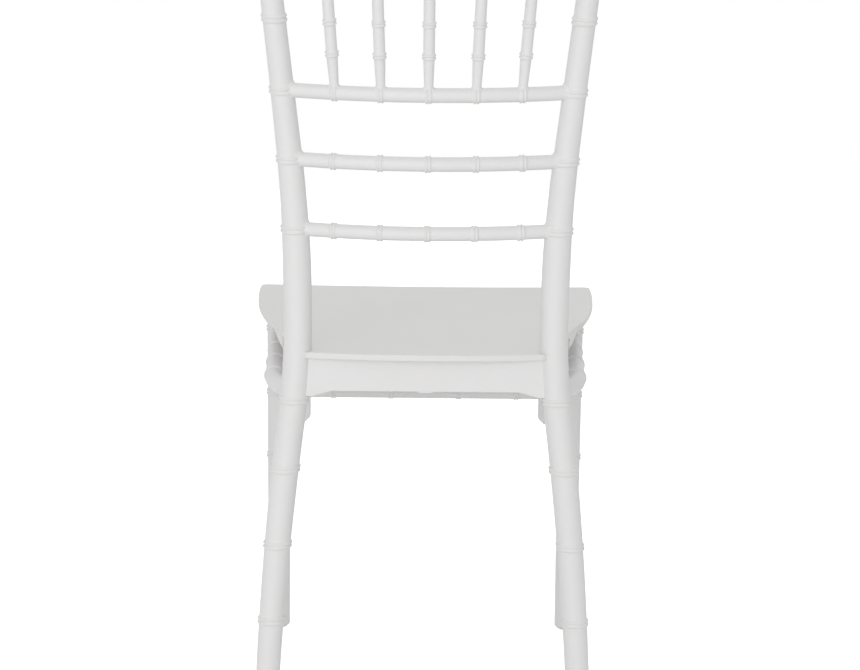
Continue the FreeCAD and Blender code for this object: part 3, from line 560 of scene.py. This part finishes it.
# Seat. One thin dished resin shell with a rounded rim: straight in front with small round corners,
# bowed sides that flare in to the posts, and a bowed lip between the posts. A flange turns down
# from each side's rim just in front of the post.
seat_corner = 0.009
seat_lip_end = (0.127, 0.405)
flange_setbacks = (0.25, 0.286)
flange_thickness = 0.0026
flange_tuck = 0.0028
flange_drops = ((0.004, 0.0), (0.014, 0.5), (0.02, 1.0))
rim_margin = 0.005
seat_rings = 26
merge_gap = 0.00002


def turning_point(a, b, c):
    """Middle of the circle through three places on the plan."""
    ax, ay, bx, by, cx, cy = *a, *b, *c
    d = 2 * (ax * (by - cy) + bx * (cy - ay) + cx * (ay - by))
    aa, bb, cc = ax * ax + ay * ay, bx * bx + by * by, cx * cx + cy * cy
    return ((aa * (by - cy) + bb * (cy - ay) + cc * (ay - by)) / d,
            (aa * (cx - bx) + bb * (ax - cx) + cc * (bx - ax)) / d)


def angle_from(middle, start, end):
    """Turn about a middle from one place to another, the short way."""
    first = math.atan2(start[1] - middle[1], start[0] - middle[0])
    second = math.atan2(end[1] - middle[1], end[0] - middle[0])
    return (second - first + math.pi) % (2 * math.pi) - math.pi


def sweep(mesh, point, middle, end, steps):
    """Carries a point round a middle to an end, the short way, and returns the arc's last point."""
    turn = angle_from(middle, point.co, end)
    made = bmesh.ops.spin(mesh, geom=[point], cent=(*middle, 0), axis=(0, 0, 1), dvec=(0, 0, 0),
                          angle=turn, steps=steps, use_merge=False)
    return next(part for part in made["geom_last"] if isinstance(part, bmesh.types.BMVert))


def straight_run(mesh, point, end, cuts):
    """Draws a line from a point, cut into even lengths, and returns its last point."""
    target = Vector((*end, 0))
    last = mesh.verts.new(target)
    bmesh.ops.subdivide_edges(mesh, edges=[mesh.edges.new((point, last))], cuts=cuts)
    return min(mesh.verts, key=lambda other: (other.co - target).length)


def on_plan(place):
    """A place given as half width and distance from the seat's front edge."""
    return place[0], seat_front_y + place[1]


seat = bmesh.new()
corner_x = seat_side_start[0] - seat_corner
spot = seat.verts.new((0, seat_front_y, 0))
spot = straight_run(seat, spot, (corner_x, seat_front_y), 23)
side_places = [on_plan(place) for place in (seat_side_start, seat_side_mid, seat_side_end)]
spot = sweep(seat, spot, on_plan((corner_x, seat_corner)), side_places[0], 10)
spot = sweep(seat, spot, turning_point(*side_places), side_places[2], 30)
flare_places = [on_plan(place) for place in (seat_side_end, seat_flare_mid, seat_rear_corner)]
spot = sweep(seat, spot, turning_point(*flare_places), flare_places[2], 20)
spot = straight_run(seat, spot, on_plan(seat_lip_end), 3)
lip, lip_peak = on_plan(seat_lip_end), (0.0, seat_front_y + seat_depth)
sweep(seat, spot, turning_point(lip, lip_peak, (-lip[0], lip[1])), lip_peak, 26)
bmesh.ops.mirror(seat, geom=list(seat.verts) + list(seat.edges), axis="X", merge_dist=merge_gap)
bmesh.ops.remove_doubles(seat, verts=seat.verts, dist=merge_gap)
panel = bmesh.ops.contextual_create(seat, geom=list(seat.edges))["faces"][0]
bmesh.ops.inset_individual(seat, faces=[panel], thickness=rim_margin, use_even_offset=True)
seat_middle = Vector((0, seat_front_y + seat_depth / 2, 0))
for left in range(seat_rings, 0, -1):
    shrink = (left - 0.7) / (left + 0.3)
    bmesh.ops.inset_individual(seat, faces=[panel], thickness=0.0)
    bmesh.ops.scale(seat, vec=(shrink, shrink, 1), space=Matrix.Translation(-seat_middle), verts=panel.verts)
bmesh.ops.poke(seat, faces=[panel])
for point in seat.verts:
    point.co.z = seat_surface(point.co.x, point.co.y)
bmesh.ops.recalc_face_normals(seat, faces=seat.faces)
if sum(face.normal.z for face in seat.faces) < 0:
    bmesh.ops.reverse_faces(seat, faces=seat.faces)

# The seat's tone is a little darker than the frame's. Part of that is the seat moulding's own slightly greyer
# tone, and part is painted shade for the dimmer light on its upward-facing top. The flanges share this
# painted shade.
seat_tone_with_painted_shade = (0.74, 0.738, 0.732)
seat_resin = resin("seat_resin", seat_tone_with_painted_shade, 0.48, False)
shell = place_piece("seat_panel", seat, seat_resin, ["seat_shell"])
depth = shell.modifiers.new("shell_depth", "SOLIDIFY")
depth.thickness = seat_thickness
depth.offset = -1
rim = shell.modifiers.new("rounded_rim", "BEVEL")
rim.width = 0.0024
rim.segments = 5
rim.limit_method = "ANGLE"
rim.angle_limit = math.radians(50)
rim.harden_normals = True

flange_ends = []
for setback in flange_setbacks:
    y = seat_front_y + setback
    flange_ends.append(Vector((seat_half_width(y), y, 0)))
flange_run = flange_ends[1] - flange_ends[0]
flange_square = Vector((flange_run.y, -flange_run.x, 0)).normalized()
for side in ("left", "right"):
    flange = bmesh.new()
    chain = [flange.verts.new(end) for end in flange_ends]
    bmesh.ops.subdivide_edges(flange, edges=[flange.edges.new(chain)], cuts=15)
    for point in flange.verts:
        point.co.z = seat_surface(point.co.x, point.co.y) - flange_tuck
    _, points = grow(flange, list(flange.edges))
    for point in points:
        share = (point.co - flange_ends[0]).dot(flange_run) / flange_run.length_squared
        point.co.z = seat_surface(point.co.x, point.co.y) - through(flange_drops, share)
    thicken(flange, -flange_square * flange_thickness)
    if side == "right":
        mirror_mesh(flange)
    piece = make_piece("seat_flange_" + side, flange, seat_resin, ["seat_shell"])
    soften(piece, 0.0009, 3)

# Side stretchers. Round ringed bars close under the seat, one on each side: each leaves its
# front leg straight, bends inwards behind its last ring and runs into the rear post.
side_bar_size = 0.02
side_bar_height = 0.408
side_bar_bend = 0.322
side_bar_radius = 0.11
side_bar_rear_spread = 0.164
side_bar_root_gap = 0.004
side_bar_stop_step = 0.001
side_ring_pitch = 0.07

bar_start = leg_line(side_bar_height)
aim = Vector((side_bar_rear_spread, post_seat_y, side_bar_height))
straight_way = (aim - bar_start).normalized()
straight = (seat_front_y + side_bar_bend - bar_start.y) / straight_way.y
bend_start = bar_start + straight_way * straight
inward = Vector((-straight_way.y, straight_way.x, 0))
bend_middle = bend_start + inward * side_bar_radius


def side_bar_at(distance):
    """Place and direction on the side stretcher, so far from the leg's axis."""
    if distance <= straight:
        return bar_start + straight_way * distance, straight_way
    turn = Matrix.Rotation((distance - straight) / side_bar_radius, 3, "Z")
    return bend_middle + turn @ (bend_start - bend_middle), turn @ straight_way


post_meet = (post_line(side_bar_height), post_axis(side_bar_height), post_radius(side_bar_height))
leg_meet = (leg_line(side_bar_height), upward, leg_radius(side_bar_height))


def room_to_post(distance):
    """The least that the side stretcher can still grow from a place before it meets the post."""
    place, way = side_bar_at(distance)
    half = side_bar_size / 2
    return min(reach(place + Vector((offset, 0, 0)), way, *post_meet) for offset in (-half, 0, half))


stop = straight
while room_to_post(stop) > side_bar_root_gap:
    stop += side_bar_stop_step
middle_y = (leg_y + post_seat_y) / 2
side_rings = [(middle_y + side_ring_pitch * i - bar_start.y) / straight_way.y for i in (-1.5, -0.5, 0.5, 1.5)]
for side in ("left", "right"):
    marks = marks_along(leg_meet[2] + side_bar_root_gap, stop, bar_step, side_rings, bar_ring)
    sections = [(*side_bar_at(away), side_bar_size / 2 + proud) for away, proud in marks]
    bar = bmesh.new()
    first, last = draw_bar(bar, sections, upward)
    root_into(bar, first, sections[0][0], -sections[0][1], leg_meet)
    root_into(bar, last, sections[-1][0], sections[-1][1], post_meet)
    parting_marks(bar, lambda co: Vector((co.x, co.y, side_bar_height)), upward)
    if side == "right":
        mirror_mesh(bar)
    make_piece("side_bar_" + side, bar, frame_resin, ["side_stretcher_" + side])

# Front stretcher and its brackets. A straight round bar with four rings between the front legs,
# with a flat resin bracket in each corner below it.
front_bar_size = 0.017
front_bar_height = 0.324
front_bar_step = 0.01
front_rings = [-0.1195, -0.0443, 0.0443, 0.1195]
bracket_reach = 0.041
bracket_drop = 0.034
bracket_outer_drop = 0.0465
bracket_embed = 0.008
bracket_chamfer = 0.007
bracket_thickness = 0.012

bar_end = leg_line(front_bar_height).x - leg_radius(front_bar_height) - rail_root_gap
marks = marks_along(-bar_end, bar_end, front_bar_step, front_rings, bar_ring)
sections = [(Vector((x, leg_y, front_bar_height)), Vector((1, 0, 0)), front_bar_size / 2 + proud)
            for x, proud in marks]
front_bar = bmesh.new()
first, last = draw_bar(front_bar, sections, upward)
for edges, hand in ((first, -1), (last, 1)):
    leg_spot = leg_line(front_bar_height)
    leg_spot.x *= hand
    root_into(front_bar, edges, Vector((hand * bar_end, leg_y, front_bar_height)), Vector((hand, 0, 0)),
              (leg_spot, upward, leg_radius(front_bar_height)))
parting_marks(front_bar, lambda co: Vector((co.x, leg_y, front_bar_height)), upward)
make_piece("front_bar", front_bar, frame_resin, ["front_stretcher"])

for side in ("left", "right"):
    x = leg_line(front_bar_height).x
    inner = x - bracket_reach
    low = front_bar_height - bracket_drop
    outer = x - bracket_embed
    outline = [(outer, front_bar_height), (inner, front_bar_height), (inner, low),
               (inner + bracket_chamfer, low - bracket_chamfer),
               (outer, front_bar_height - bracket_outer_drop)]
    bracket = bmesh.new()
    bracket.faces.new([bracket.verts.new((x, leg_y - bracket_thickness / 2, z)) for x, z in outline])
    thicken(bracket, (0, bracket_thickness, 0))
    parting_marks(bracket, lambda co: Vector((co.x, leg_y, co.z)), Vector((0, 1, 0)))
    if side == "right":
        mirror_mesh(bracket)
    piece = make_piece("bracket_" + side, bracket, frame_resin, ["front_bracket_" + side])
    soften(piece, 0.0015, 4)

# Corner blocks, glides and hardware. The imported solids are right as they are: matt resin blocks
# under the seat's corners, zinc-plated bolts, washers and screws, brass inserts, and plastic glides.
block_resin = resin("block_resin", (0.72, 0.715, 0.70), 0.6, False)
glide_plastic = resin("glide_plastic", (0.66, 0.655, 0.64), 0.55, False)


def plated(name, tone, rough):
    """Plated or turned metal with a fine brushed grain."""
    finish = bpy.data.materials.new(name)
    finish.use_nodes = True
    tree = finish.node_tree
    shader = tree.nodes["Principled BSDF"]
    shader.inputs["Metallic"].default_value = 1.0
    where = tree.nodes.new("ShaderNodeTexCoord")
    stretch = tree.nodes.new("ShaderNodeMapping")
    stretch.inputs["Scale"].default_value = (1, 1, 8)
    tree.links.new(where.outputs["Object"], stretch.inputs["Vector"])
    scratches = tree.nodes.new("ShaderNodeTexNoise")
    scratches.inputs["Scale"].default_value = 500
    scratches.inputs["Detail"].default_value = 4
    tree.links.new(stretch.outputs["Vector"], scratches.inputs["Vector"])
    shade = tree.nodes.new("ShaderNodeMix")
    shade.data_type = "RGBA"
    shade.inputs[6].default_value = (*[0.85 * part for part in tone], 1)
    shade.inputs[7].default_value = (*tone, 1)
    tree.links.new(scratches.outputs["Fac"], shade.inputs[0])
    tree.links.new(shade.outputs[2], shader.inputs["Base Color"])
    worn = tree.nodes.new("ShaderNodeMapRange")
    worn.inputs["To Min"].default_value = rough - 0.08
    worn.inputs["To Max"].default_value = rough + 0.1
    tree.links.new(scratches.outputs["Fac"], worn.inputs["Value"])
    tree.links.new(worn.outputs["Result"], shader.inputs["Roughness"])
    return finish


zinc_steel = plated("zinc_steel", (0.62, 0.63, 0.65), 0.32)
brass_insert = plated("brass_insert", (0.72, 0.57, 0.3), 0.3)
finishes = {"corner_block": block_resin, "glide": glide_plastic, "frame_bolts": zinc_steel,
            "bolt_washers": zinc_steel, "seat_screws": zinc_steel, "threaded_inserts": brass_insert}
for name, node in nodes.items():
    for word, finish in finishes.items():
        if word in name:
            node.data.materials.clear()
            node.data.materials.append(finish)

# Studio. A pale floor that keeps the chair's soft shadow, a white surround, one broad light beside
# the camera, a weaker one above the chair's front, and the camera behind the chair, as high as the
# chair's back and looking slightly down.
floor_radius = 6.0
paper_tone = (0.78, 0.78, 0.78, 1)
paper_lift = 0.68
camera_place = (0.00493, 1.79566, 0.7911)


def seen_ray(tree):
    """One for rays from the camera, in a reflection or through glass, and nothing for other light."""
    rays = tree.nodes.new("ShaderNodeLightPath")
    result = rays.outputs["Is Camera Ray"]
    for kind in ("Is Transmission Ray", "Is Glossy Ray"):
        either = tree.nodes.new("ShaderNodeMath")
        either.operation = "MAXIMUM"
        tree.links.new(result, either.inputs[0])
        tree.links.new(rays.outputs[kind], either.inputs[1])
        result = either.outputs[0]
    return result


floor_mesh = bmesh.new()
bmesh.ops.create_circle(floor_mesh, cap_ends=True, segments=96, radius=floor_radius)
floor_data = bpy.data.meshes.new("floor")
floor_mesh.to_mesh(floor_data)
floor_mesh.free()
floor = bpy.data.objects.new("floor", floor_data)
bpy.context.scene.collection.objects.link(floor)
paper = bpy.data.materials.new("paper")
paper.use_nodes = True
paper_tree = paper.node_tree
paper_shader = paper_tree.nodes["Principled BSDF"]
paper_shader.inputs["Base Color"].default_value = paper_tone
paper_shader.inputs["Roughness"].default_value = 0.9
paper_shader.inputs["Specular IOR Level"].default_value = 0.1
lift = paper_tree.nodes.new("ShaderNodeMath")
lift.operation = "MULTIPLY"
lift.inputs[1].default_value = paper_lift
paper_tree.links.new(seen_ray(paper_tree), lift.inputs[0])
glow = paper_tree.nodes.new("ShaderNodeEmission")
paper_tree.links.new(lift.outputs[0], glow.inputs["Strength"])
both = paper_tree.nodes.new("ShaderNodeAddShader")
paper_tree.links.new(paper_shader.outputs[0], both.inputs[0])
paper_tree.links.new(glow.outputs[0], both.inputs[1])
paper_tree.links.new(both.outputs[0], paper_tree.nodes["Material Output"].inputs["Surface"])
floor_data.materials.append(paper)

surround = bpy.data.worlds.new("surround")
bpy.context.scene.world = surround
surround.use_nodes = True
sky = surround.node_tree
background = sky.nodes["Background"]
background.inputs["Color"].default_value = (1, 1, 1, 1)
sky_way = sky.nodes.new("ShaderNodeTexCoord")
sky_parts = sky.nodes.new("ShaderNodeSeparateXYZ")
sky.links.new(sky_way.outputs["Generated"], sky_parts.inputs["Vector"])
forward = sky.nodes.new("ShaderNodeMath")
forward.operation = "MULTIPLY"
sky.links.new(sky_parts.outputs["Y"], forward.inputs[0])
sky.links.new(sky_parts.outputs["Y"], forward.inputs[1])
sky_light = sky.nodes.new("ShaderNodeMapRange")
sky_light.inputs["To Min"].default_value = 0.63
sky_light.inputs["To Max"].default_value = 0.8
sky.links.new(forward.outputs[0], sky_light.inputs["Value"])
sky_level = sky.nodes.new("ShaderNodeMix")
sky_level.inputs["B"].default_value = 1.0
sky.links.new(seen_ray(sky), sky_level.inputs["Factor"])
sky.links.new(sky_light.outputs["Result"], sky_level.inputs["A"])
sky.links.new(sky_level.outputs["Result"], background.inputs["Strength"])


def softbox(name, place, target, size, power):
    """A square soft light aimed at a place."""
    light = bpy.data.lights.new(name, "AREA")
    light.shape = "SQUARE"
    light.size = size
    light.energy = power
    lamp = bpy.data.objects.new(name, light)
    lamp.location = place
    lamp.rotation_euler = (Vector(target) - Vector(place)).to_track_quat("-Z", "Y").to_euler()
    bpy.context.scene.collection.objects.link(lamp)


softbox("key", (0.6, 2.6, 0.9), (0, 0, 0.45), 1.8, 22)
softbox("overhead", (0, -2.2, 2.7), (0, 0, 0.4), 2.6, 10)
bpy.context.scene.view_settings.view_transform = "Standard"

view = bpy.data.cameras.new("view")
view.lens = 65.72
view.sensor_width = 36.0
view.clip_start = 0.05
camera = bpy.data.objects.new("view", view)
down, turn, tilt = 0.1929, math.radians(0.321), math.radians(0.621)
right = Vector((-math.cos(turn), math.sin(turn), 0))
ahead = Vector((-math.sin(turn) * math.cos(down), -math.cos(turn) * math.cos(down), -math.sin(down)))
up = Vector((-math.sin(turn) * math.sin(down), -math.cos(turn) * math.sin(down), math.cos(down)))
across = right * math.cos(tilt) + up * math.sin(tilt)
over = up * math.cos(tilt) - right * math.sin(tilt)
facing = Matrix((across, over, -ahead)).transposed().to_4x4()
camera.matrix_world = Matrix.Translation(camera_place) @ facing
bpy.context.scene.collection.objects.link(camera)
bpy.context.scene.camera = camera

bpy.context.view_layer.update()
